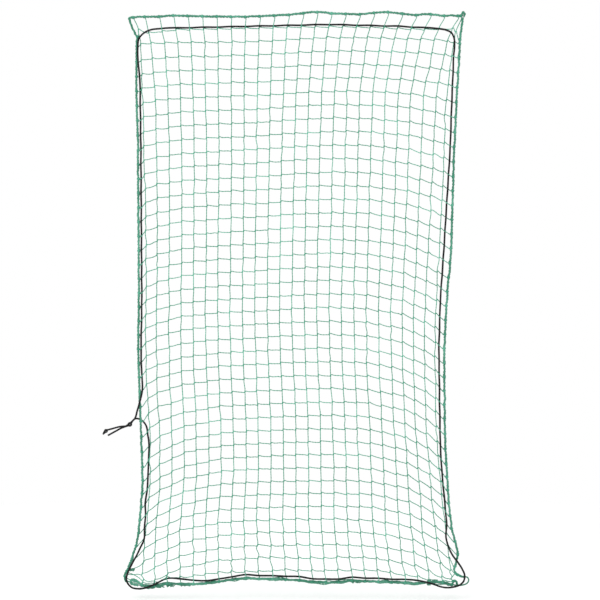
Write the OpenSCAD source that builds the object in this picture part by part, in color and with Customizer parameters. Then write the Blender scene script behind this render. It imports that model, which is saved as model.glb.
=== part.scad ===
// Knotless square-mesh rebounder net, hung by its top edge rope.
// Green twines run up and across, a heavier rope is laced round the edge, and one black elastic
// cord is threaded through the outer meshes and tied at the left. The net hangs in the XZ plane,
// with the middle of the top rope at the origin and its front facing -Y.

/* [Netting] */
// Number of meshes across the net
mesh_columns = 26; // [26:1:26]
// Number of meshes down the net
mesh_rows = 45; // [45:1:45]
// Diameter of the mesh twine
twine_d = 3.4; // [2:0.1:3.4]
// Distance of each twine's middle from the plane in which the twines cross
twine_layer = 2; // [1.8:0.1:2.5]
// Depth of the gentle billow in the hanging net
billow = 12; // [0:1:14]

/* [Edge rope] */
// Diameter of the rope round the edge
rope_d = 10; // [7:0.5:10]
// Diameter of the thinner rope loop at the lower right corner
loop_d = 6; // [4:0.5:7]

/* [Elastic cord] */
// Diameter of the elastic cord
elastic_d = 8; // [6:0.5:8.5]
// Room between the elastic cord and each twine that it passes
weave_gap = 1; // [0.8:0.1:1.6]
// Distance of the cord inside the left edge rope, where it runs close to it
cord_inset_left = 12; // [12:1:15]
// Distance across the tied knot
knot_d = 26; // [22:1:28]

/* [Hidden] */
UPRIGHTS = mesh_columns - 1;
CROSSES = mesh_rows - 1;
CROSSES_PER_NODE = 2;
MIDDLE_COLUMN = mesh_columns / 2;
DROP = 2520;
TWINE_SIDES = 8;
CORD_SIDES = 8;
ROPE_SIDES = 10;
JOINT_GAP = 0.8;

// How far below the top each row hangs in the middle of the net: [row, fall]
ROW_FALL = [[0, 0], [2, 108], [30, 1788], [34, 2019], [38, 2248], [42, 2473]];
// How far a row drops at the second upright from either side: [row, drop]
ARCH = [[0, 0], [2, 15], [10, 41], [18, 58], [24, 68], [28, 75], [31, 89], [34, 91], [41, 90], [42, 78]];
// How much further a row drops on the left than on the right: [row, difference / 2]
LEAN = [[0, 0], [3, 8], [10, 6], [25, 1], [28, 5], [40, 10], [42, 8]];
// How much further the rows hang in the left half of the net than in the right: [column, fall]
SWELL = [[2, 0], [4, 7], [6, 14], [9, 16], [11, 9], [13, 1], [16, -6], [18, -6], [20, -3], [24, 0]];
// Share of that swell which each row takes: [row, share]
SWELL_SHARE = [[2, 0.7], [10, 1], [18, 1], [25, 0.8], [28, 0.5], [36, 0.1], [40, 0]];
// Share of the half width at each column, for the arch: [column, share]
ARCH_SPAN = [[0, -1.16], [1, -1.08], [2, -1], [24, 1], [25, 1.08], [26, 1.16]];

// Sides of the hanging net, each [fall, x]
LEFT_ROPE = [
    [0, -738], [45, -732], [75, -718], [101, -703], [140, -706], [320, -708], [600, -700], [1270, -696],
    [1500, -700], [1940, -684], [2080, -680], [2160, -684], [2340, -702], [2430, -730], [2500, -758]
];
SECOND_UPRIGHT = [
    [0, -674], [100, -648], [200, -629], [600, -617], [1050, -614], [1480, -622],
    [1750, -613], [1940, -600], [2080, -603], [2160, -609], [2300, -625], [2520, -628]
];
MIDDLE_UPRIGHT = [
    [0, 33], [100, 19], [200, 7], [600, -5], [1270, -17], [1500, -14],
    [1720, 0], [2000, 3], [2200, -1], [2300, 1], [2400, 10], [2520, 16]
];
LAST_BUT_ONE_UPRIGHT = [
    [0, 727], [100, 681], [200, 648], [380, 622], [600, 615], [1050, 591], [1270, 577],
    [1490, 572], [1720, 577], [1940, 587], [2160, 608], [2300, 620], [2420, 640], [2520, 656]
];
RIGHT_ROPE = [
    [0, 745], [65, 744], [110, 732], [200, 727], [290, 721], [600, 705], [1050, 692], [1270, 672], [1490, 662],
    [1720, 662], [1940, 667], [2160, 680], [2300, 696], [2390, 724], [2430, 717], [2470, 708]
];
// Two columns whose meshes are uneven, and how far they hang from their even place: [fall, x]
LEFT_UNEVEN_COLUMN = 7;
LEFT_SHIFT = [[250, 0], [390, -5], [600, 0], [1200, -3], [1600, 0], [2050, -3], [2200, -10], [2400, -6]];
RIGHT_UNEVEN_COLUMN = 21;
RIGHT_SHIFT = [[400, 0], [600, 2], [1000, 7], [1400, 9], [1600, 15], [2050, 15], [2200, 11], [2400, 4]];
// Width of the first mesh inside the left rope and inside the right rope: [fall, width]
LEFT_MESH = [
    [0, 56], [67, 42], [120, 46], [200, 52], [450, 57], [700, 54], [1200, 48],
    [1780, 46], [2176, 42], [2240, 36], [2326, 43], [2472, 54], [2520, 56]
];
RIGHT_MESH = [[0, 9], [30, 22], [75, 21], [140, 34], [205, 45], [600, 49], [2300, 44], [2400, 48], [2520, 40]];

// Edges of the hanging net, each [x, fall]
TOP_ROPE = [
    [-740, 16], [-700, 10], [-615, 11], [-575, 4], [-455, 7], [-300, 10], [-215, 11], [-55, 3],
    [0, 0], [65, -11], [105, -10], [165, -4], [305, 0], [385, -13], [425, -9], [545, 4],
    [625, -3], [665, 7], [745, 6]
];
TOP_CORD = [
    [-690, 92], [-655, 73], [-600, 62], [-425, 58], [150, 45], [465, 53], [620, 62], [670, 72], [700, 96]
];
BOTTOM_ROPE = [
    [-745, 2522], [-723, 2532], [-680, 2541], [-647, 2546], [-600, 2543], [-550, 2528],
    [-495, 2538], [-380, 2530], [-245, 2510], [-110, 2513], [0, 2517], [90, 2527], [165, 2530],
    [245, 2520], [400, 2526], [520, 2532], [580, 2534], [610, 2522], [650, 2528], [690, 2536], [715, 2540]
];
BOTTOM_CORD = [
    [-660, 2548], [-632, 2537], [-598, 2520], [-564, 2508], [-529, 2508], [-444, 2520], [-375, 2518],
    [-325, 2510],
    [-240, 2493], [-110, 2498], [0, 2500], [90, 2512], [165, 2514], [250, 2505], [400, 2511],
    [540, 2517], [600, 2529]
];
// Fall of the first row at the outer columns, where it leaves the cord: [column, fall]
FIRST_ROW_LEFT = [101, 67, 81];
FIRST_ROW_RIGHT = [74, 61, 76, 112];
// Distance of the first row below the cord elsewhere
FIRST_ROW_ROOM = 8;
// Last row that hangs above the bottom rope. The rows below it are bunched up behind the rope
LAST_FREE_ROW = 42;
BUNCH_DEPTH = 8.5;
BUNCH_STEP = 6;
// Least room that the gathered rows keep from the cord or rope below them, and from each other
GATHER_ROOM = 8;
GATHER_STEP = 13;

// Hand-set stretches of the elastic cord, [x, y, fall], where it isn't woven
CORD_FROM_KNOT = [[-727, -5, 1811], [-714, -8, 1797], [-704, -11, 1765], [-694, -11, 1730]];
CORD_TO_KNOT = [
    [-654, -5, 1886], [-658, 4, 1870], [-660, 12, 1852], [-666, 12, 1830], [-680, 11, 1811],
    [-699, 11, 1800], [-716, 8, 1800], [-727, 5, 1811]
];
CORD_TOP_LEFT = [[-700, -11, 205], [-701, -11, 150], [-695, -11, 107], [-681, -11, 90]];
CORD_TOP_RIGHT = [[636, -11, 65], [670, -11, 71], [692, -11, 82], [704, -11, 104], [707, -10, 140]];
CORD_BOTTOM_RIGHT = [
    [669, -11, 2326], [678, -11, 2362], [700, -12, 2408], [722, -12, 2437], [740, -12, 2465], [752, -12, 2496],
    [747, -12, 2521], [730, -12, 2537], [703, -12, 2546], [672, -12, 2549], [642, -12, 2544], [614, -12, 2534]
];
CORD_BOTTOM_LEFT = [
    [-666, -12, 2550], [-701, -12, 2554], [-726, -12, 2549], [-743, -12, 2534], [-752, -12, 2511],
    [-747, -12, 2488], [-733, -12, 2456], [-703, -12, 2400], [-690, -12, 2372], [-674, -11, 2338]
];
// How far outside the last upright the cord runs down the right side: [fall, distance]
CORD_PAST_LAST = [[180, 9], [260, 16], [380, 27], [600, 24], [900, 22], [1700, 19], [2074, 10], [2150, 11]];
// How the cord's distance from the left edge rope differs near the top: [fall, change]
CORD_DRIFT_LEFT = [[200, -1], [330, 4], [600, 0]];
// How far outside the first upright it runs up the lower left side: [fall, distance]
CORD_PAST_FIRST = [[1900, 9], [2074, 11], [2176, 18], [2250, 12], [2300, 9]];
// First and last rows and uprights that the cord is woven past
FIRST_WOVEN_LEFT = 4;
FIRST_WOVEN_RIGHT = 3;
LAST_WOVEN_ROW = 36;
LEFT_BREAK_ROWS = [26, 30];
TOP_WOVEN_UPRIGHTS = [2, 22];
BOTTOM_WOVEN_UPRIGHTS = [2, 22];

// The tied ends, [x, y, fall]
KNOT_CENTRE = [-736, 0, 1825];
UPPER_TAIL = [
    [-754, -5, 1832], [-781, -5, 1834], [-808, -5, 1841], [-830, -5, 1847], [-846, -5, 1851], [-855, -5, 1867]
];
LOWER_TAIL = [[-754, 5, 1833], [-773, 5, 1840], [-803, 5, 1856], [-834, 5, 1873]];
STOPPER_CENTRE = [-846, -5, 1853];
CORNER_LOOP = [
    [740, 0, 2503], [754, 1, 2502], [766, 2, 2506], [771, 2, 2517], [764, 2, 2531], [744, 1, 2539], [719, 0, 2541]
];
// Ends of the side ropes, [x, fall]
LEFT_ROPE_END = [[-745, 2470], [-759, 2500]];
RIGHT_ROPE_END = [[716, 2432], [708, 2466], [712, 2484], [722, 2496], [736, 2502]];
LAST_ROPE_ROW = 38;

// Rows at which an upright has a ring, and columns at which a cross twine has one
UPRIGHT_RINGS = [1, 2, 6, 10, 14, 18, 22, 26, 30, 34, 38, 41, 42];
CROSS_RINGS = [1, 2, 4, 7, 10, 13, 16, 19, 22, 24, 25];
// First row that needs a ring at every column, because it is gathered along the bottom edge
FIRST_GATHERED_ROW = 42;

function two_digits(n) = n < 10 ? str("0", n) : str(n);
function upright_name(n) = str("upright_twine_", two_digits(n));
function cross_name(first) =
    str("cross_twines_", two_digits(first), "_", two_digits(first + CROSSES_PER_NODE - 1));

// ---- Hanging shape: where a point of the net lies ----

// Gentle billow, which vanishes at the top rope and turns over halfway down
function billow_at(x, fall) = -billow * sin(360 * fall / DROP) * cos(90 * x / 800);

// x of a column that is evenly spaced in one half of the net, between x a at column first and x b
function even(a, b, column, first) = a + (b - a) * (column - first) / (MIDDLE_COLUMN - 2);

// x of a column, at a given fall below the top
function column_x(column, fall) =
    let (
        second = lookup(fall, SECOND_UPRIGHT),
        middle = lookup(fall, MIDDLE_UPRIGHT),
        last = lookup(fall, LAST_BUT_ONE_UPRIGHT)
    )
    lookup(column, [
        [0, lookup(fall, LEFT_ROPE)],
        [1, second - lookup(fall, LEFT_MESH)],
        [2, second],
        [LEFT_UNEVEN_COLUMN, even(second, middle, LEFT_UNEVEN_COLUMN, 2) + lookup(fall, LEFT_SHIFT)],
        [MIDDLE_COLUMN, middle],
        [RIGHT_UNEVEN_COLUMN, even(middle, last, RIGHT_UNEVEN_COLUMN, MIDDLE_COLUMN) + lookup(fall, RIGHT_SHIFT)],
        [mesh_columns - 2, last],
        [mesh_columns - 1, last + lookup(fall, RIGHT_MESH)],
        [mesh_columns, lookup(fall, RIGHT_ROPE)]
    ]);

// Fall of a row that hangs free of the edges, at a column
function free_fall(column, row) =
    let (share = lookup(column, ARCH_SPAN))
    lookup(row, ROW_FALL) + lookup(row, ARCH) * pow(share, 4) - lookup(row, LEAN) * share
        + lookup(column, SWELL) * lookup(row, SWELL_SHARE);

// Lowest fall that a gathered row may reach above the cord and rope of the bottom edge
function gathered_fall(column, row) =
    let (x = column_x(column, DROP), edge = min(lookup(x, BOTTOM_CORD), lookup(x, BOTTOM_ROPE) - 4))
    edge - GATHER_ROOM - (LAST_FREE_ROW - row) * GATHER_STEP;

// Fall of the first row, which lies along the elastic cord except at the outer columns
function first_fall(column) =
    let (from_right = column - (mesh_columns - len(FIRST_ROW_RIGHT) + 1))
    column < len(FIRST_ROW_LEFT) ? FIRST_ROW_LEFT[column]
    : from_right >= 0 ? FIRST_ROW_RIGHT[from_right]
    : lookup(column_x(column, 60), TOP_CORD) + FIRST_ROW_ROOM;

// Fall of any row at a column: row 0 is the top rope and the last one the bottom rope
function row_fall(column, row) =
    row == 0 ? lookup(column_x(column, 0), TOP_ROPE)
    : row == 1 ? first_fall(column)
    : row <= LAST_FREE_ROW ? min(free_fall(column, row), gathered_fall(column, row))
    : lookup(column_x(column, DROP), BOTTOM_ROPE)
        + (row < mesh_rows ? (row - LAST_FREE_ROW - 1.5) * BUNCH_STEP : 0);

function net_point(column, row) =
    let (fall = row_fall(column, row), x = column_x(column, fall))
    [x, billow_at(x, fall), -fall];

// A hand-set point, with its fall turned into z
function placed(p) = [p[0], p[1], -p[2]];
function placed_all(points) = [for (p = points) placed(p)];

// ---- Sweep of a round strand along a path ----

function unit(v) = v / norm(v);
function tangent(path, k) = unit(path[min(k + 1, len(path) - 1)] - path[max(k - 1, 0)]);
function ring(path, k, r, sides) =
    let (t = tangent(path, k), a = unit(cross(t, [0, 1, 0])), b = cross(t, a))
    [for (s = [0 : sides - 1]) path[k] + r * (cos(360 * s / sides) * a + sin(360 * s / sides) * b)];

module strand(path, diameter, sides) {
    rings = len(path);
    points = [for (k = [0 : rings - 1]) each ring(path, k, diameter / 2, sides)];
    walls = [
        for (k = [0 : rings - 2], s = [0 : sides - 1])
            let (next = (s + 1) % sides)
            each [
                [k * sides + s, k * sides + next, (k + 1) * sides + next],
                [k * sides + s, (k + 1) * sides + next, (k + 1) * sides + s]
            ]
    ];
    start_cap = [[for (s = [sides - 1 : -1 : 0]) s]];
    end_cap = [[for (s = [0 : sides - 1]) (rings - 1) * sides + s]];
    polyhedron(points = points, faces = concat(walls, start_cap, end_cap), convexity = 10);
}

// ---- Edge rope ----

module top_edge_rope() {
    path = [for (p = TOP_ROPE) [p[0], 0, -p[1]]];
    color("mediumseagreen") strand(path, rope_d, ROPE_SIDES);
}

module left_edge_rope() {
    path = concat(
        [[column_x(0, 0), 0, -(TOP_ROPE[0][1] + rope_d / 2 + 3 * JOINT_GAP)]],
        [for (fall = [45, 75]) [lookup(fall, LEFT_ROPE), 0, -fall]],
        [for (row = [1 : LAST_ROPE_ROW]) net_point(0, row)],
        [for (p = LEFT_ROPE_END) [p[0], 0, -p[1]]]
    );
    color("mediumseagreen") strand(path, rope_d, ROPE_SIDES);
}

module right_edge_rope() {
    top_end = TOP_ROPE[len(TOP_ROPE) - 1];
    path = concat(
        [[column_x(mesh_columns, 0), 0, -(top_end[1] + rope_d / 2 + 3 * JOINT_GAP)]],
        [for (row = [1 : LAST_ROPE_ROW]) net_point(mesh_columns, row)],
        [for (p = RIGHT_ROPE_END) [p[0], 0, -p[1]]]
    );
    color("mediumseagreen") strand(path, rope_d, ROPE_SIDES);
}

module bottom_edge_rope() {
    path = [for (p = BOTTOM_ROPE) [p[0], 0, -p[1]]];
    color("seagreen") strand(path, rope_d, ROPE_SIDES);
}

module corner_loop() {
    color("seagreen") strand(placed_all(CORNER_LOOP), loop_d, ROPE_SIDES);
}

// ---- Netting ----

// The top end stays below the swing's axis, so that it turns clear of the rope where that arches above it
module upright_twine(n) {
    room = rope_d / 2 + JOINT_GAP;
    layer = [0, -twine_layer, 0];
    top = net_point(n, 0);
    path = concat(
        [[top[0], top[1], min(top[2], 0) - room] + layer],
        [for (row = UPRIGHT_RINGS) net_point(n, row) + layer],
        [net_point(n, mesh_rows) + layer + [0, 0, room]]
    );
    color("darkseagreen") strand(path, twine_d, TWINE_SIDES);
}

// Where a cross twine starts and ends, beside the side ropes
CROSS_ROOM = [rope_d / 2 + 3 * JOINT_GAP, 0, 0];
function cross_start(row) = net_point(0, row) + CROSS_ROOM;
function cross_end(row) = net_point(mesh_columns, row) - CROSS_ROOM;

module cross_twine(row) {
    layer = [0, row <= LAST_FREE_ROW ? twine_layer : BUNCH_DEPTH, 0];
    columns = row < FIRST_GATHERED_ROW ? CROSS_RINGS : [for (column = [1 : mesh_columns - 1]) column];
    path = concat(
        [cross_start(row) + layer],
        [for (column = columns) net_point(column, row) + layer],
        [cross_end(row) + layer]
    );
    color("darkseagreen") strand(path, twine_d, TWINE_SIDES);
}

module cross_twines(first) {
    for (row = [first : first + CROSSES_PER_NODE - 1]) cross_twine(row);
}

// ---- Elastic cord ----

// How far the cord's middle stands off the middle of a twine that it passes
WEAVE = (twine_d + elastic_d) / 2 + weave_gap;

// The cord passes every other twine in front and the rest behind
function weave_side(n) = n % 2 == 0 ? -1 : 1;
function past_upright(n, x, fall) = [x, billow_at(x, fall) - twine_layer + weave_side(n) * WEAVE, -fall];
function past_cross(row, x, fall) = [x, billow_at(x, fall) + twine_layer + weave_side(row) * WEAVE, -fall];

// Fall at which the straight twine between two points passes x
function fall_between(a, b, x) = -(a[2] + (b[2] - a[2]) * (x - a[0]) / (b[0] - a[0]));

function left_upper_point(row) =
    let (
        near = row_fall(0.3, row),
        x = column_x(0, near) + cord_inset_left + lookup(near, CORD_DRIFT_LEFT)
    )
    past_cross(row, x, fall_between(cross_start(row), net_point(1, row), x));
function left_lower_point(row) =
    let (
        near = row_fall(0.7, row),
        x = column_x(1, near) - lookup(near, CORD_PAST_FIRST)
    )
    past_cross(row, x, fall_between(cross_start(row), net_point(1, row), x));
function right_point(row) =
    let (
        near = row_fall(mesh_columns - 0.4, row),
        x = column_x(mesh_columns - 1, near) + lookup(near, CORD_PAST_LAST)
    )
    past_cross(row, x, fall_between(net_point(mesh_columns - 1, row), cross_end(row), x));
function top_point(n) =
    let (x = column_x(n, 60)) past_upright(n, x, lookup(x, TOP_CORD));
function bottom_point(n) =
    let (x = column_x(n, DROP)) past_upright(n, x, lookup(x, BOTTOM_CORD));

ELASTIC_PATH = concat(
    placed_all(CORD_FROM_KNOT),
    [for (row = [LEFT_BREAK_ROWS[0] : -1 : FIRST_WOVEN_LEFT]) left_upper_point(row)],
    placed_all(CORD_TOP_LEFT),
    [for (n = [TOP_WOVEN_UPRIGHTS[0] : TOP_WOVEN_UPRIGHTS[1]]) top_point(n)],
    placed_all(CORD_TOP_RIGHT),
    [for (row = [FIRST_WOVEN_RIGHT : LAST_WOVEN_ROW]) right_point(row)],
    placed_all(CORD_BOTTOM_RIGHT),
    [for (n = [BOTTOM_WOVEN_UPRIGHTS[1] : -1 : BOTTOM_WOVEN_UPRIGHTS[0]]) bottom_point(n)],
    placed_all(CORD_BOTTOM_LEFT),
    [for (row = [LAST_WOVEN_ROW : -1 : LEFT_BREAK_ROWS[1]]) left_lower_point(row)],
    placed_all(CORD_TO_KNOT)
);

module elastic_cord() {
    color("black") strand(ELASTIC_PATH, elastic_d, CORD_SIDES);
}

// One turn of the cord round the knot
module knot_turn(tilt, lean, turn_d) {
    rotate([tilt, lean, 0])
        rotate_extrude($fn = 48)
            translate([turn_d / 2, 0]) circle(d = elastic_d, $fn = 24);
}

module elastic_knot() {
    turn_d = knot_d - elastic_d;
    color("black") translate(placed(KNOT_CENTRE)) {
        sphere(d = knot_d - 6, $fn = 48);
        knot_turn(90, 35, turn_d - 2);
        knot_turn(60, -20, turn_d - 3);
    }
}

module tail_upper() {
    color("black") strand(placed_all(UPPER_TAIL), elastic_d, CORD_SIDES);
}

module tail_stopper() {
    color("black") translate(placed(STOPPER_CENTRE)) {
        rotate([0, 35, 0]) rotate_extrude($fn = 48) translate([5, 0]) circle(d = 7.5, $fn = 24);
    }
}

module tail_lower() {
    color("black") strand(placed_all(LOWER_TAIL), elastic_d, CORD_SIDES);
}

top_edge_rope();
left_edge_rope();
right_edge_rope();
bottom_edge_rope();
corner_loop();
for (n = [1 : UPRIGHTS]) upright_twine(n);
for (first = [1 : CROSSES_PER_NODE : CROSSES])
    cross_twines(first);
elastic_cord();
elastic_knot();
tail_upper();
tail_stopper();
tail_lower();
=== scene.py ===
"""Knotless rebounder net: twines, edge rope, elastic cord and tied ends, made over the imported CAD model.

The netting is worked out from the centrelines of the CAD strands. Lengths are in metres, the net hangs in
the XZ plane with the middle of its top rope at the origin, and its front faces -Y.
"""

import math

import bmesh
import bpy
import numpy as np
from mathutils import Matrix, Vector


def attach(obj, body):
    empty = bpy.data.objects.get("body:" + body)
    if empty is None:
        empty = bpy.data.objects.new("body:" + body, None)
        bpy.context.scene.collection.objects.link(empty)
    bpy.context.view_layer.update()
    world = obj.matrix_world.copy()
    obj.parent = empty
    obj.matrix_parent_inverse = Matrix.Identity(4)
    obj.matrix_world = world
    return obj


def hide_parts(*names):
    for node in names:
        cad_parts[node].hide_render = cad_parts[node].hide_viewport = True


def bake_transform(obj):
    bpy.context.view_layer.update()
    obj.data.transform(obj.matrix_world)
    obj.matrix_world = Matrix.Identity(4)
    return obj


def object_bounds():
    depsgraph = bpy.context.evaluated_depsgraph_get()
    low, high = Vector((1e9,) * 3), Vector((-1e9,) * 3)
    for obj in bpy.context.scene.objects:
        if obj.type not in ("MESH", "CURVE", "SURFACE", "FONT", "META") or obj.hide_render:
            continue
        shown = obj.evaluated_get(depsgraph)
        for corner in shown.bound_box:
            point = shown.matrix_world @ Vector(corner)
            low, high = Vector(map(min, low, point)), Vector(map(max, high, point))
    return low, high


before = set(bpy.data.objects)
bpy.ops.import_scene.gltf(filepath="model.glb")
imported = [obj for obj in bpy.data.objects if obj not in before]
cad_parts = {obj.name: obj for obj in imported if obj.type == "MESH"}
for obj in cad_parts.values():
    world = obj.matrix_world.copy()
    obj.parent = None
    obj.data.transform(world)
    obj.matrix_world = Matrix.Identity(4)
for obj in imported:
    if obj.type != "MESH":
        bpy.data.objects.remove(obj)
CAD_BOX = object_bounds()
CHANCE = np.random.default_rng(11)

# ---- Sizes ----

COLUMNS = 26
ROWS = 45
LAST_FREE_ROW = 42
TWINE_R = 0.0019
ROPE_R = 0.0043
CORD_R = 0.0042
LOOP_R = 0.0031
TAIL_D = 0.0080
SLACK_R = TWINE_R * 1.05
LACING_R = TWINE_R * 0.85
# Least gap between two rings of a CAD strand, along it
RING_GAP = 0.004
# Height at which the netting's bend below the top rope ends
SWING_END = -0.35
# Turns of a twine round a rope: distance from the rope's middle, number and spacing
WRAP_R = ROPE_R + TWINE_R * 0.7
WRAP_TURNS = 2.0
WRAP_PITCH = 0.0032

# ---- The elastic cord's ends, with the points that the CAD has ----

CORD_FROM_KNOT = [
    (-0.727, -0.005, -1.811), (-0.714, -0.008, -1.797), (-0.704, -0.011, -1.765), (-0.694, -0.011, -1.730),
]
CORD_TO_KNOT = [
    (-0.654, -0.005, -1.886), (-0.658, 0.004, -1.870), (-0.660, 0.012, -1.852), (-0.666, 0.012, -1.830),
    (-0.680, 0.011, -1.811), (-0.699, 0.011, -1.800), (-0.716, 0.008, -1.800), (-0.727, 0.005, -1.811),
]
UPPER_TAIL = [
    (-0.754, -0.005, -1.832), (-0.781, -0.005, -1.834), (-0.808, -0.005, -1.841),
    (-0.830, -0.005, -1.847), (-0.846, -0.005, -1.851), (-0.855, -0.005, -1.867),
]
LOWER_TAIL = [
    (-0.754, 0.005, -1.833), (-0.773, 0.005, -1.840), (-0.803, 0.005, -1.856), (-0.834, 0.005, -1.873),
]

# ---- The knot, the stopper and the corner loop, set close to the CAD's ----

KNOT_CENTRE = (-0.737, 0.000, -1.824)
KNOT_RING_R = 0.0062
KNOT_CORD_R = CORD_R * 1.05
STOPPER_START = (-0.8345, -0.005, -1.848)
STOPPER_CENTRE = (-0.843, -0.005, -1.853)
STOPPER_RING_R = 0.0055
STOPPER_CORD_R = TAIL_D * 0.44
CORNER_LOOP = [
    (0.728, 0.000, -2.499), (0.740, 0.000, -2.503), (0.754, 0.001, -2.502), (0.766, 0.002, -2.506),
    (0.771, 0.002, -2.517), (0.764, 0.002, -2.531), (0.744, 0.001, -2.539), (0.719, 0.000, -2.541),
    (0.704, 0.000, -2.538),
]

# ---- Bunches of slack netting along the bottom rope: (x, z of the middle), (half width, half height) ----

BUNCHES = [
    ((-0.726, -2.471), (0.008, 0.005)), ((-0.644, -2.549), (0.018, 0.006)),
    ((-0.603, -2.545), (0.018, 0.006)), ((-0.558, -2.540), (0.018, 0.006)),
    ((-0.490, -2.538), (0.020, 0.005)), ((-0.100, -2.514), (0.022, 0.005)),
    ((0.270, -2.524), (0.022, 0.005)), ((0.594, -2.527), (0.008, 0.013)),
    ((0.621, -2.520), (0.012, 0.006)), ((0.660, -2.529), (0.018, 0.005)),
]

# ---- Ends of the edge ropes, where the CAD ropes stop short of their turns and folds ----

TOP_LEFT_END = [(-0.7375, 0.0, -0.0270), (-0.7410, 0.0, -0.0170)]
TOP_RIGHT_END = [(0.746, 0.0, 0.010), (0.753, 0.0, 0.000), (0.748, 0.0, -0.010)]
BOTTOM_LEFT_END = [
    (-0.700, 0.0, -2.540), (-0.720, 0.0, -2.537), (-0.734, 0.0, -2.530), (-0.733, 0.0, -2.520),
    (-0.720, 0.0, -2.517), (-0.705, 0.0, -2.522),
]
BOTTOM_RIGHT_END = [(0.703, 0.0, -2.524), (0.711, 0.0, -2.521), (0.718, 0.0, -2.530), (0.721, 0.0, -2.540)]
SIDE_ENDS = {
    "left": [
        (-0.733, 0.0, -2.436), (-0.745, 0.0, -2.466), (-0.757, 0.0, -2.488),
        (-0.760, 0.0, -2.504), (-0.752, 0.0, -2.524),
    ],
    "right": [
        (0.712, 0.0, -2.449), (0.706, 0.0, -2.466), (0.709, 0.0, -2.480),
        (0.720, 0.0, -2.491), (0.737, 0.0, -2.500), (0.752, 0.0, -2.503),
    ],
}


# ---- Camera ----


def make_camera():
    """A long lens straight in front of the middle of the net."""
    camera = bpy.data.objects.new("camera", bpy.data.cameras.new("camera"))
    bpy.context.scene.collection.objects.link(camera)
    camera.data.lens = 120
    camera.data.sensor_width = 36
    camera.location = (0.020, -8.9, -1.2707)
    camera.rotation_euler = (math.pi / 2, 0, 0)
    bpy.context.scene.camera = camera


# ---- Curves ----


def unit(v):
    """Vectors scaled to length 1."""
    v = np.asarray(v, float)
    return v / np.maximum(np.linalg.norm(v, axis=-1, keepdims=True), 1e-12)


def smooth(points, step):
    """A smooth curve through points, sampled about a step apart and at the points themselves."""
    p = np.asarray(points, float)
    spans = np.maximum(np.linalg.norm(np.diff(p, axis=0), axis=1), 1e-6)
    slopes = np.diff(p, axis=0) / spans[:, None]
    weighted = slopes[:-1] * spans[1:, None] + slopes[1:] * spans[:-1, None]
    inner = weighted / (spans[:-1] + spans[1:])[:, None]
    tangents = np.concatenate([slopes[:1], inner, slopes[-1:]])
    out = []
    for a, b, m, n, span in zip(p[:-1], p[1:], tangents[:-1], tangents[1:], spans):
        t = np.linspace(0, 1, max(1, round(span / step)) + 1)[:-1, None]
        out.append(
            (2 * t**3 - 3 * t**2 + 1) * a + (t**3 - 2 * t**2 + t) * span * m
            + (3 * t**2 - 2 * t**3) * b + (t**3 - t**2) * span * n
        )
    return np.concatenate([*out, p[-1:]])


def length_along(path):
    """Distance of each point of a path from its start."""
    return np.concatenate([[0], np.cumsum(np.linalg.norm(np.diff(path, axis=0), axis=1))])


def carried_normals(tangents):
    """Normals that turn with the path and don't twist about it."""
    first = unit(np.cross(tangents[0], (0.02, 1.0, 0.03)))
    normals = [first]
    for t in tangents[1:]:
        n = normals[-1] - np.dot(normals[-1], t) * t
        normals.append(n / max(np.linalg.norm(n), 1e-9))
    return np.array(normals)


def drift(count, size, reach):
    """Random values that wander smoothly, with a spread of size and about reach values to a bend."""
    raw = CHANCE.normal(size=count + 4 * reach)
    kernel = np.hanning(2 * reach + 3)[1:-1]
    return size * np.convolve(raw, kernel / np.sqrt((kernel**2).sum()), mode="same")[reach : reach + count]


# ---- Strands ----


def tube(path, radius, sides, lobes, depth, pitch, phase=0.0):
    """One twisted strand along a path: points, faces, UVs and how high each point stands on its lobe."""
    path = np.asarray(path, float)
    count = len(path)
    radius = np.broadcast_to(radius, count)
    along = length_along(path)
    tangents = unit(np.gradient(path, axis=0))
    normals = carried_normals(tangents)
    binormals = np.cross(tangents, normals)
    turn = np.linspace(0, 2 * np.pi, sides, endpoint=False)
    wave = np.cos(lobes * (turn[None, :] - 2 * np.pi * along[:, None] / pitch - phase))
    reach = radius[:, None] * (1 + depth * wave)
    points = (
        path[:, None, :]
        + (reach * np.cos(turn))[:, :, None] * normals[:, None, :]
        + (reach * np.sin(turn))[:, :, None] * binormals[:, None, :]
    )
    ring = np.arange(count - 1)[:, None] * sides
    side = np.arange(sides)[None, :]
    after = (side + 1) % sides
    corners = [ring + side, ring + after, ring + sides + after, ring + sides + side]
    quads = np.stack(corners, axis=-1).reshape(-1, 4)
    u0, u1, v0, v1 = np.broadcast_arrays(along[:-1, None], along[1:, None], side / sides, (side + 1) / sides)
    uvs = np.stack([u0, v0, u0, v1, u1, v1, u1, v0], axis=-1).reshape(-1, 2)
    caps = [list(range(sides))[::-1], list(range((count - 1) * sides, count * sides))]
    cap_uvs = [(0.0, s / sides) for s in caps[0]] + [(along[-1], s / sides) for s in range(sides)]
    return {
        "points": points.reshape(-1, 3),
        "faces": quads.tolist() + caps,
        "uvs": np.concatenate([uvs, np.array(cap_uvs)]),
        "lobe": (0.5 + 0.5 * wave).reshape(-1),
    }


def slack_tube(path, step):
    """A slack twine, drawn more coarsely than those of the meshes."""
    return tube(smooth(path, step), SLACK_R, 7, lobes=2, depth=0.2, pitch=0.026)


def elastic_tube(path, radius):
    """A smooth round elastic cord."""
    return tube(path, radius, 12, lobes=6, depth=0.02, pitch=0.05)


def rounded_ends(path, radius):
    """A path and its radii, with both ends drawn in to a blunt dome."""
    path = np.asarray(path, float)
    first, last = unit(path[0] - path[1]), unit(path[-1] - path[-2])
    dome = np.array([0.25, 0.45, 0.58]) * radius
    shrink = np.array([0.93, 0.72, 0.35]) * radius
    longer = np.concatenate([
        path[0] + dome[::-1, None] * first,
        path,
        path[-1] + dome[:, None] * last,
    ])
    return longer, np.concatenate([shrink[::-1], np.full(len(path), radius), shrink])


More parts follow.
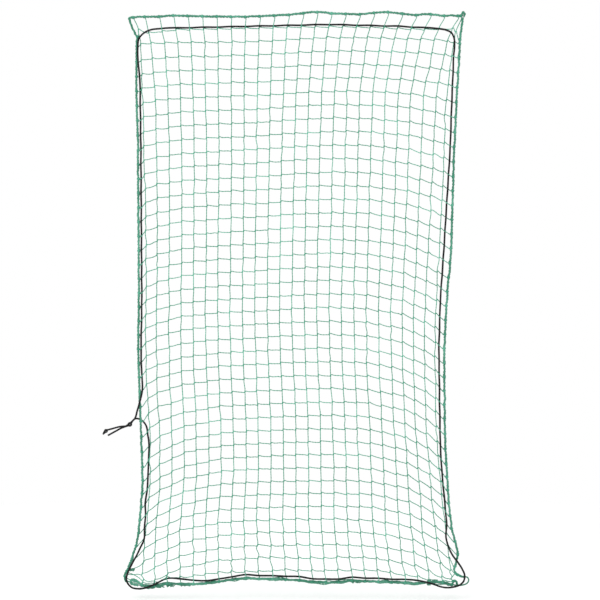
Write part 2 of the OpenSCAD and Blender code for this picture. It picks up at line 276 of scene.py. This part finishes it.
def piece(name, tubes, material):
    """One mesh object made of several strands."""
    points, faces, uvs, lobes, base = [], [], [], [], 0
    for t in tubes:
        points.append(t["points"])
        faces += [[i + base for i in f] for f in t["faces"]]
        uvs.append(t["uvs"])
        lobes.append(t["lobe"])
        base += len(t["points"])
    mesh = bpy.data.meshes.new(name)
    mesh.from_pydata(np.concatenate(points).tolist(), [], faces)
    layer = mesh.uv_layers.new(name="Strand")
    layer.data.foreach_set("uv", np.concatenate(uvs).astype(np.float32).reshape(-1))
    lobe = mesh.attributes.new("lobe", "FLOAT", "POINT")
    lobe.data.foreach_set("value", np.concatenate(lobes).astype(np.float32))
    mesh.shade_smooth()
    mesh.materials.append(material)
    obj = bpy.data.objects.new(name, mesh)
    bpy.context.scene.collection.objects.link(obj)
    return obj


def hang(obj):
    """Moves a piece with the net; a piece that reaches up near the top rope is left unattached, with its
    transform applied.
    """
    if max(v.co.z for v in obj.data.vertices) > SWING_END:
        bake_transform(obj)
    else:
        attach(obj, "panel")


# ---- Centrelines of the CAD strands ----


def strands(node):
    """Points of each separate strand in a CAD node."""
    bm = bmesh.new()
    bm.from_mesh(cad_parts[node].data)
    bmesh.ops.remove_doubles(bm, verts=bm.verts, dist=1e-6)
    left, found = set(bm.verts), []
    while left:
        todo, group = [left.pop()], []
        while todo:
            v = todo.pop()
            group.append(v.co[:])
            for w in (e.other_vert(v) for e in v.link_edges):
                if w in left:
                    left.remove(w)
                    todo.append(w)
        found.append(np.array(group))
    bm.free()
    return found


def centreline(points, axis):
    """Middles of a strand's rings in order along an axis, where the rings lie clear of each other."""
    points = points[np.argsort(points[:, axis])]
    cuts = np.flatnonzero(np.diff(points[:, axis]) > RING_GAP) + 1
    return np.array([ring.mean(axis=0) for ring in np.split(points, cuts)])


def at(line, axis, value):
    """The point of a centreline where one coordinate has a value."""
    return np.array([np.interp(value, line[:, axis], line[:, k]) for k in range(3)])


def cross_node(row):
    """Name of the CAD node that holds a row's twine."""
    first = row - (row + 1) % 2
    return f"cross_twines_{first:02d}_{first + 1:02d}"


def read_lines():
    """Centrelines of every column and row, of which the first and last are the edge ropes."""
    down = [centreline(strands("left_edge_rope")[0], 2)]
    down += [centreline(strands(f"upright_twine_{n:02d}")[0], 2) for n in range(1, COLUMNS)]
    down.append(centreline(strands("right_edge_rope")[0], 2))
    across = [centreline(strands("top_edge_rope")[0], 0)]
    for first in range(1, ROWS - 1, 2):
        pair = [centreline(s, 0) for s in strands(cross_node(first))]
        across += sorted(pair, key=lambda line: -line[:, 2].mean())
    across.append(centreline(strands("bottom_edge_rope")[0], 0))
    return down, across


DOWN, ACROSS = read_lines()
MEETING_ROUNDS = 14


def meeting(column, row):
    """Where an upright and a row meet: on an edge rope, or halfway between the layers of two twines."""
    z = ACROSS[row][:, 2].mean()
    for _ in range(MEETING_ROUNDS):
        on_upright = at(DOWN[column], 2, z)
        on_row = at(ACROSS[row], 0, on_upright[0])
        z = on_row[2]
    if row in (0, ROWS):
        y = on_row[1]
    elif column in (0, COLUMNS):
        y = on_upright[1]
    else:
        y = (on_row[1] + on_upright[1]) / 2
    return np.array([on_upright[0], y, z])


def slackness(column, row):
    """How loosely a mesh hangs: 1 in the middle of the net, more along the bottom edge and at the sides."""
    low = np.clip((row - 36) / 8, 0, 1)
    side = np.clip((abs(column - COLUMNS / 2) - 9) / 4, 0, 1)
    return 1 + 1.6 * low + 0.8 * side


JOINTS = np.array([[meeting(c, r) for r in range(ROWS + 1)] for c in range(COLUMNS + 1)])
# The first row's twine turns back on itself at the left rope, so its first two joints are given one by one
JOINTS[0, 1] = (-0.703, 0.0, -0.101)
JOINTS[1, 1] = (-0.699, 0.0, -0.067)
# The last free rows reach the side ropes where these turn outwards
JOINTS[0, 41] = (-0.751, 0.0, -2.477)
JOINTS[0, 42] = (-0.760, 0.0, -2.500)
JOINTS[COLUMNS, 41] = (0.716, 0.0, -2.488)
JOINTS[COLUMNS, 42] = (0.706, 0.0, -2.520)
for column in range(1, COLUMNS):
    for row in range(2, ROWS - 2):
        loose = slackness(column, row)
        JOINTS[column, row] += CHANCE.normal(size=3) * (0.0010 * loose, 0.0006, 0.0010 * loose)
# The first row lies a little nearer the front
JOINTS[1:COLUMNS, 1, 1] -= 0.0015


# ---- Netting ----

TWINE_STEP = 0.005
SHORTEST_SLACK_LEG = 0.022
STEP_UP = 0.0022
STEP_ASIDE = 0.0013


def wrap(centre, rope_way, net_way):
    """Turns of a twine round a rope, ending on the side that faces the netting."""
    rope_way = unit(rope_way)
    facing = unit(net_way - np.dot(net_way, rope_way) * rope_way)
    beside = np.cross(rope_way, facing)
    angle = np.linspace(-WRAP_TURNS * 2 * np.pi, 0, int(WRAP_TURNS * 8) + 1)[:, None]
    shift = WRAP_PITCH * (angle / (2 * np.pi) + WRAP_TURNS / 2)
    return centre + shift * rope_way + WRAP_R * (np.cos(angle) * facing + np.sin(angle) * beside)


def swollen(path, joints, radius, extra, reach):
    """Radii along a path that swell where it passes its joints."""
    path = np.asarray(path)
    swell = np.zeros(len(path))
    for j in joints:
        near = np.exp(-((np.linalg.norm(path - j, axis=1) / reach) ** 2))
        swell = np.maximum(swell, near)
    return radius * (1 + extra * swell)


def leg(a, b, bow, sway, sag):
    """Points of a slack leg between two joints: it sways to both sides, sags, and bows towards +Y."""
    if np.linalg.norm(b - a) < SHORTEST_SLACK_LEG:
        return []
    way = unit(b - a)
    side = unit(np.array([way[2], 0, -way[0]]))
    shapes = ((0.25, 0.8, 0.7), (0.5, 0.1, 1.0), (0.75, -0.7, 0.7))
    return [
        a + t * (b - a) + s * sway * side + k * np.array([0, bow, -sag])
        for t, s, k in shapes
    ]


def upright(n):
    """Path of an upright, tied round the top rope and into the bunched netting round the bottom rope."""
    column = JOINTS[n]
    rope_way = JOINTS[n + 1, 0] - JOINTS[n - 1, 0]
    path = list(wrap(column[0], rope_way, (0, 0, -1)))
    for row in range(1, LAST_FREE_ROW + 1):
        loose = slackness(n, row)
        if row > 1:
            sway = CHANCE.normal() * 0.0009 * loose + 0.0012 * (loose - 1)
            path += leg(column[row - 1], column[row], -0.0012, sway, 0)
        path.append(column[row])
    rope_way = JOINTS[n + 1, ROWS] - JOINTS[n - 1, ROWS]
    path += list(wrap(column[ROWS], rope_way, (0, 0, 1))[::-1])
    return smooth(path, TWINE_STEP)


def bunched(row):
    """Path of a cross twine that is bunched up behind the bottom rope and wanders above and below it."""
    line = smooth(ACROSS[row], TWINE_STEP)
    line[:, 1] += drift(len(line), 0.0010, 6) - 0.0015
    line[:, 2] += drift(len(line), 0.0028, 6)
    return line


def cross(row):
    """Path of a cross twine: it reaches each upright low on the left and leaves it high on the right."""
    if row > LAST_FREE_ROW:
        return bunched(row)
    joints = JOINTS[:, row]
    rope_way = JOINTS[0, row + 1] - JOINTS[0, row - 1]
    path = list(wrap(joints[0], rope_way, joints[1] - joints[0]))
    before = path[-1]
    for n in range(1, COLUMNS):
        upwards = unit(JOINTS[n, row - 1] - JOINTS[n, row + 1])
        aside = np.array([STEP_ASIDE, 0, 0])
        enter, leave = joints[n] - STEP_UP * upwards - aside, joints[n] + STEP_UP * upwards + aside
        loose = slackness(n - 0.5, row)
        sag = 0.0011 * loose + CHANCE.normal() * 0.0008 * loose
        path += leg(before, enter, 0.0012, CHANCE.normal() * 0.0007 * loose, sag)
        path += [enter, joints[n], leave]
        before = leave
    rope_way = JOINTS[COLUMNS, row + 1] - JOINTS[COLUMNS, row - 1]
    last = wrap(joints[COLUMNS], rope_way, joints[COLUMNS - 1] - joints[COLUMNS])
    path += leg(before, last[-1], 0.0012, 0, 0.001) + list(last[::-1])
    return smooth(path, TWINE_STEP)


def twine_tube(path, joints):
    """A loosely twisted two-ply twine that thickens at its joints."""
    radius = swollen(path, joints, TWINE_R, 0.5, 0.0035) * (1 + drift(len(path), 0.035, 4))
    return tube(path, radius, 8, lobes=2, depth=0.2, pitch=0.026, phase=CHANCE.uniform(0, 6))


def make_netting(material):
    """Every upright, and the cross twines in the CAD's pairs."""
    for n in range(1, COLUMNS):
        joints = JOINTS[n, 1 : LAST_FREE_ROW + 1]
        obj = piece(f"upright_{n:02d}", [twine_tube(upright(n), joints)], material)
        hang(obj)
        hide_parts(f"upright_twine_{n:02d}")
    for first in range(1, ROWS - 1, 2):
        rows = (first, first + 1)
        tubes = [twine_tube(cross(row), JOINTS[1:COLUMNS, row]) for row in rows]
        obj = piece(f"cross_{rows[0]:02d}_{rows[1]:02d}", tubes, material)
        hang(obj)
        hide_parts(cross_node(first))


# ---- Edge rope ----

ROPE_STEP = 0.004
FINE_STEP = 0.003
LACING_PITCH = 0.031
LACING_STARTS = (0.0, 2.4)
BUNCH_STRANDS = 4
BUNCH_POINTS = 34
BUNCH_DEPTH = 0.0085


def scalloped(joints, outwards, bulge, wander):
    """A rope's path through its joints, standing out between them."""
    points = []
    for a, b in zip(joints[:-1], joints[1:]):
        points.append(a)
        if np.linalg.norm(b - a) > 0.02:
            middle = (a + b) / 2 + np.array(outwards) * (bulge + CHANCE.normal() * wander)
            points.append(middle + (0, CHANCE.normal() * wander, 0))
    points.append(joints[-1])
    return smooth(points, ROPE_STEP)


def rope_tubes(path, joints, lump=0.3):
    """A three-ply rope that thickens at its joints, with the thin lacing that spirals round it."""
    thick = swollen(path, joints, ROPE_R, lump, 0.006) * (1 + drift(len(path), 0.05, 5))
    tubes = [tube(path, thick, 14, lobes=3, depth=0.13, pitch=0.042, phase=CHANCE.uniform(0, 6))]
    along = length_along(path)
    tangents = unit(np.gradient(path, axis=0))
    normals = carried_normals(tangents)
    binormals = np.cross(tangents, normals)
    for start in LACING_STARTS:
        turn = (2 * np.pi * along / LACING_PITCH + start + drift(len(path), 0.5, 8))[:, None]
        spiral = path + (thick[:, None] + 0.0002) * (np.cos(turn) * normals + np.sin(turn) * binormals)
        tubes.append(tube(smooth(spiral, ROPE_STEP), LACING_R, 6, lobes=2, depth=0.15, pitch=0.02))
    return tubes


def gathered_tubes(path, count, spread, lift):
    """Slack twines that wander round a rope where meshes are gathered on it."""
    tubes = []
    for _ in range(count):
        phase = CHANCE.uniform(0, 2 * np.pi)
        winding = 2 * np.pi * length_along(path) / CHANCE.uniform(0.07, 0.12)
        turn = phase + winding + drift(len(path), 1.0, 9)
        size = spread * (0.8 + drift(len(path), 0.22, 7))
        shift = np.stack([0 * turn, np.cos(turn) * size * 0.8, np.sin(turn) * size + lift], axis=-1)
        tubes.append(slack_tube(path + shift, ROPE_STEP))
    return tubes


def bunch_tubes(middle, half):
    """One bunch of slack meshes: loops of twine that wind round the rope and stand out unevenly."""
    centre = np.array([middle[0], 0.0, middle[1]])
    tubes = []
    for _ in range(BUNCH_STRANDS):
        t = np.linspace(0, 1, BUNCH_POINTS)
        turn = CHANCE.uniform(0, 6) + 2 * np.pi * t * CHANCE.uniform(1.6, 2.8)
        reach = CHANCE.uniform(0.65, 1.05)
        points = centre + np.stack([
            half[0] * (2 * t - 1) * CHANCE.uniform(0.8, 1.1) + drift(BUNCH_POINTS, 0.0010, 4),
            np.cos(turn) * min(half[1], BUNCH_DEPTH) * reach,
            np.sin(turn) * half[1] * reach + drift(BUNCH_POINTS, 0.0010, 4),
        ], axis=-1)
        tubes.append(slack_tube(points, FINE_STEP))
    return tubes


def make_edge_ropes(material):
    """The four edge ropes, each tied to the meshes beside it."""
    across = [JOINTS[1:COLUMNS, row] for row in (0, ROWS)]
    top = np.concatenate([TOP_LEFT_END, across[0], TOP_RIGHT_END])
    path = scalloped(top, (0, 0, 1), 0.0006, 0.0008)
    obj = piece("edge_rope_top", rope_tubes(path, across[0]), material)
    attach(obj, "top_rope")
    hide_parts("top_edge_rope")

    sides = {"left": (0, (-1, 0, 0)), "right": (COLUMNS, (1, 0, 0))}
    for name, (column, outwards) in sides.items():
        line = DOWN[column][::-1]
        end = SIDE_ENDS[name]
        joints = [j for j in JOINTS[column, 1:ROWS] if j[2] > end[0][2] + 0.010]
        above = [p for p in line if p[2] > joints[0][2] + 0.010]
        path = scalloped(np.array([*above, *joints, *end]), outwards, 0.0012, 0.0008)
        obj = piece(f"edge_rope_{name}", rope_tubes(path, joints), material)
        hang(obj)
        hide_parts(f"{name}_edge_rope")

    path = smooth(np.concatenate([BOTTOM_LEFT_END, across[1], BOTTOM_RIGHT_END]), ROPE_STEP)
    tubes = rope_tubes(path, across[1], lump=0.35)
    tubes += gathered_tubes(path, count=3, spread=0.0036, lift=0.0022)
    for middle, half in BUNCHES:
        tubes += bunch_tubes(middle, half)
    obj = piece("edge_rope_bottom", tubes, material)
    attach(obj, "panel")
    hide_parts("bottom_edge_rope")

    path, radius = rounded_ends(smooth(CORNER_LOOP, FINE_STEP), LOOP_R)
    tubes = [tube(path, radius, 12, lobes=3, depth=0.14, pitch=0.03)]
    obj = piece("corner_loop_rope", tubes, material)
    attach(obj, "panel")
    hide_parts("corner_loop")


# ---- Elastic cord ----

CORD_STEP = 0.006
# The CAD cord's rings are read outside this distance of the knot, and the given points serve inside it
READ_FROM_KNOT = 0.150
RING_POINTS = 28


def nearest_order(points, start):
    """Points in the order of a walk that always goes on to the nearest one left."""
    left, here, order = list(points), np.array(start), []
    while left:
        k = int(np.argmin([np.linalg.norm(p - here) for p in left]))
        here = left.pop(k)
        order.append(here)
    return np.array(order)


def woven_route():
    """Middles of the CAD cord's rings round the net, from the knot's upper run to its lower run."""
    points = strands("elastic_cord")[0]
    near_knot = np.linalg.norm(points - KNOT_CENTRE, axis=1) < READ_FROM_KNOT
    left, rings = list(map(tuple, points[~near_knot])), []
    while left:
        ring, todo = [], [left.pop()]
        while todo:
            p = todo.pop()
            ring.append(p)
            close = [q for q in left if math.dist(p, q) < RING_GAP]
            left = [q for q in left if math.dist(p, q) >= RING_GAP]
            todo += close
        rings.append(np.mean(ring, axis=0))
    return nearest_order(rings, CORD_FROM_KNOT[-1])


def round_a_ring(start, end, centre, radius, nearer, further, turns):
    """A cord's path from start, round a ring some turns while its depth changes, and on to end."""
    centre = np.array(centre)
    first = math.atan2(start[2] - centre[2], start[0] - centre[0])
    last = math.atan2(end[2] - centre[2], end[0] - centre[0]) + 2 * math.pi * turns
    angle = np.linspace(first, last, RING_POINTS)[:, None]
    depth = np.linspace(nearer, further, RING_POINTS)[:, None]
    ring = centre + radius * (np.cos(angle) * (1, 0, 0) + np.sin(angle) * (0, 0, 1)) + depth * (0, 1, 0)
    return smooth(np.concatenate([[start], ring, [end]]), 0.0015)


def make_elastic(material):
    """The threaded cord, its knot, its two tails and the stopper on the upper one."""
    route = smooth(np.concatenate([CORD_FROM_KNOT, woven_route(), CORD_TO_KNOT]), CORD_STEP)
    radius = CORD_R * (1 + drift(len(route), 0.02, 6))
    obj = piece("elastic", [elastic_tube(route, radius)], material)
    hang(obj)
    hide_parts("elastic_cord")

    paths = (
        round_a_ring(CORD_FROM_KNOT[0], UPPER_TAIL[0], KNOT_CENTRE, KNOT_RING_R, -0.0075, -0.0005, -1),
        round_a_ring(CORD_TO_KNOT[-1], LOWER_TAIL[0], KNOT_CENTRE, KNOT_RING_R * 0.9, 0.0010, 0.0080, 1),
    )
    obj = piece("elastic_tie", [elastic_tube(path, KNOT_CORD_R) for path in paths], material)
    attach(obj, "panel")
    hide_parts("elastic_knot")

    tails = {"upper": (UPPER_TAIL, "tail_upper", "knot"), "lower": (LOWER_TAIL, "tail_lower", "bare")}
    for name, (points, body, far_end) in tails.items():
        path = smooth(points, FINE_STEP)
        ended, radius = rounded_ends(path, TAIL_D / 2)
        obj = piece(f"elastic_end_{name}", [elastic_tube(ended, radius)], material)
        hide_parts(f"tail_{name}")
        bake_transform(obj)

    path = round_a_ring(STOPPER_START, UPPER_TAIL[-1], STOPPER_CENTRE, STOPPER_RING_R, -0.0050, 0.0040, 2)
    ended, radius = rounded_ends(path, STOPPER_CORD_R)
    obj = piece("elastic_stopper", [elastic_tube(ended, radius)], material)
    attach(obj, "tail_upper")
    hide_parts("tail_stopper")


# ---- Materials ----


def node(tree, kind, **values):
    """A shader node, with its inputs and properties set by name."""
    made = tree.nodes.new(kind)
    for key, value in values.items():
        if key in made.inputs:
            made.inputs[key].default_value = value
        else:
            setattr(made, key, value)
    return made


def mixed(tree, factor, a, b):
    """A colour mixed from a and b, each a colour or another node's output."""
    mix = tree.nodes.new("ShaderNodeMix")
    mix.data_type = "RGBA"
    for socket, value in ((mix.inputs[0], factor), (mix.inputs[6], a), (mix.inputs[7], b)):
        if isinstance(value, bpy.types.NodeSocket):
            tree.links.new(value, socket)
        else:
            socket.default_value = value
    return mix.outputs[2]


def ramp(tree, source, low, high):
    """A value that goes from 0 to 1 as the source goes from low to high."""
    made = node(tree, "ShaderNodeMapRange")
    tree.links.new(source, made.inputs["Value"])
    made.inputs["From Min"].default_value = low
    made.inputs["From Max"].default_value = high
    return made.outputs["Result"]


def plies(tree, per_metre, around):
    """Slanted ridges along a strand: a wave over its length and round it."""
    uv = node(tree, "ShaderNodeUVMap", uv_map="Strand")
    split = node(tree, "ShaderNodeSeparateXYZ")
    tree.links.new(uv.outputs["UV"], split.inputs[0])
    lengthways = node(tree, "ShaderNodeMath", operation="MULTIPLY")
    lengthways.inputs[1].default_value = per_metre * 2 * math.pi
    tree.links.new(split.outputs["X"], lengthways.inputs[0])
    slant = node(tree, "ShaderNodeMath", operation="MULTIPLY_ADD")
    slant.inputs[1].default_value = around * 2 * math.pi
    tree.links.new(split.outputs["Y"], slant.inputs[0])
    tree.links.new(lengthways.outputs[0], slant.inputs[2])
    wave = node(tree, "ShaderNodeMath", operation="SINE")
    tree.links.new(slant.outputs[0], wave.inputs[0])
    return wave.outputs[0]


def noise(tree, scale):
    """Noise over the piece's own coordinates."""
    where = node(tree, "ShaderNodeTexCoord")
    made = node(tree, "ShaderNodeTexNoise", Scale=scale, Detail=3.0)
    tree.links.new(where.outputs["Object"], made.inputs["Vector"])
    return made.outputs["Fac"]


def finish_surface(tree, colour, height, depth, rough, sheen):
    """Joins colour, bump and roughness to the surface shader."""
    shader = tree.nodes["Principled BSDF"]
    tree.links.new(colour, shader.inputs["Base Color"])
    bump = node(tree, "ShaderNodeBump", Strength=0.6, Distance=depth)
    tree.links.new(height, bump.inputs["Height"])
    tree.links.new(bump.outputs["Normal"], shader.inputs["Normal"])
    spread = node(tree, "ShaderNodeMapRange")
    tree.links.new(noise(tree, 260.0), spread.inputs["Value"])
    spread.inputs["To Min"].default_value = rough[0]
    spread.inputs["To Max"].default_value = rough[1]
    tree.links.new(spread.outputs["Result"], shader.inputs["Roughness"])
    shader.inputs["Sheen Weight"].default_value = sheen
    shader.inputs["Sheen Roughness"].default_value = 0.5


def new_material(name):
    """A material with shader nodes, and its node tree."""
    material = bpy.data.materials.new(name)
    material.use_nodes = True
    return material, material.node_tree


def twine_material(name, light, painted_groove_shade, faded, per_metre):
    """Twisted polyethylene fibres: ridges that follow the twist, painted shade in the grooves between the
    plies and between the fibre ridges, faded in patches.
    """
    material, tree = new_material(name)
    lobe = node(tree, "ShaderNodeAttribute", attribute_name="lobe")
    fibres = plies(tree, per_metre, 9)
    # Painted shade: the colour runs from the ridge colour on the lobe tops to the dark colour in the grooves
    # between the plies
    shade = mixed(tree, ramp(tree, lobe.outputs["Fac"], 0.0, 0.75), painted_groove_shade, light)
    # Painted shade: the grooves of the slanted fibre ridges are coloured darker, following the bump's height
    fibre_groove_shaded = mixed(tree, ramp(tree, fibres, -1.6, 1.2), painted_groove_shade, shade)
    patchy = mixed(tree, ramp(tree, noise(tree, 9.0), 0.46, 0.72), fibre_groove_shaded, faded)
    speckled = mixed(tree, ramp(tree, noise(tree, 420.0), 0.62, 0.80), patchy, faded)
    finish_surface(tree, speckled, fibres, 0.00022, (0.55, 0.85), 0.25)
    return material


def elastic_material():
    """Black braided sheath over rubber: two families of crossing ridges, painted shade in the grooves
    between them, and a little dust.
    """
    material, tree = new_material("elastic_braid")
    one, other = plies(tree, 260, 8), plies(tree, 260, -8)
    braid = node(tree, "ShaderNodeMath", operation="MAXIMUM")
    tree.links.new(one, braid.inputs[0])
    tree.links.new(other, braid.inputs[1])
    # Black for the braid's grooves and grey for its ridges: painted shade
    black = (0.0015, 0.0016, 0.0018, 1)
    grey = (0.006, 0.0062, 0.0066, 1)
    dust = (0.020, 0.022, 0.021, 1)
    # Painted shade: the grooves between the braid's threads are coloured black and the ridges grey,
    # following the bump's height
    braid_groove_shade = mixed(tree, ramp(tree, braid.outputs[0], -0.4, 1.0), black, grey)
    dusty = mixed(tree, ramp(tree, noise(tree, 55.0), 0.66, 0.88), braid_groove_shade, dust)
    finish_surface(tree, dusty, braid.outputs[0], 0.0003, (0.50, 0.70), 0.0)
    tree.nodes["Principled BSDF"].inputs["Specular IOR Level"].default_value = 0.22
    return material


def floor_material():
    """Plain matt white with a very faint mottle."""
    material, tree = new_material("floor_paint")
    shade = mixed(tree, noise(tree, 1.5), (0.97, 0.97, 0.97, 1), (0.99, 0.99, 0.99, 1))
    tree.links.new(shade, tree.nodes["Principled BSDF"].inputs["Base Color"])
    tree.nodes["Principled BSDF"].inputs["Roughness"].default_value = 0.9
    return material


# ---- Floor and light ----

FLOOR_DROP = 0.045


def make_stage():
    """A pale floor under the hanging net, even white light all round and one large soft lamp."""
    height = CAD_BOX[0].z - FLOOR_DROP
    bpy.ops.mesh.primitive_circle_add(vertices=96, radius=4.5, fill_type="NGON", location=(0, 0, height))
    floor = bpy.context.object
    floor.name = "floor"
    floor.data.materials.append(floor_material())

    world = bpy.data.worlds.new("studio")
    world.use_nodes = True
    world.node_tree.nodes["Background"].inputs["Color"].default_value = (1, 1, 1, 1)
    world.node_tree.nodes["Background"].inputs["Strength"].default_value = 1.0
    bpy.context.scene.world = world

    lamp = bpy.data.lights.new("softbox", "AREA")
    lamp.shape = "DISK"
    lamp.size = 3.5
    lamp.energy = 120
    softbox = bpy.data.objects.new("softbox", lamp)
    softbox.location = (-2.6, -4.6, 1.8)
    softbox.rotation_euler = (Vector((0, 0, -1.2)) - softbox.location).to_track_quat("-Z", "Y").to_euler()
    bpy.context.scene.collection.objects.link(softbox)
    bpy.context.scene.view_settings.view_transform = "Standard"


# ---- The whole object ----

make_camera()
elastic = elastic_material()
make_elastic(elastic)
# The dark colour here is painted shade for the twine's grooves, and the light one is its ridge colour
twine = twine_material(
    "green_twine", per_metre=90,
    light=(0.050, 0.400, 0.250, 1), painted_groove_shade=(0.012, 0.225, 0.125, 1), faded=(0.110, 0.480, 0.330, 1),
)
# The dark colour here is painted shade for the rope's grooves, and the light one is its ridge colour
rope = twine_material(
    "green_rope", per_metre=70,
    light=(0.055, 0.310, 0.190, 1), painted_groove_shade=(0.012, 0.150, 0.085, 1), faded=(0.100, 0.380, 0.260, 1),
)
make_edge_ropes(rope)
make_netting(twine)
make_stage()
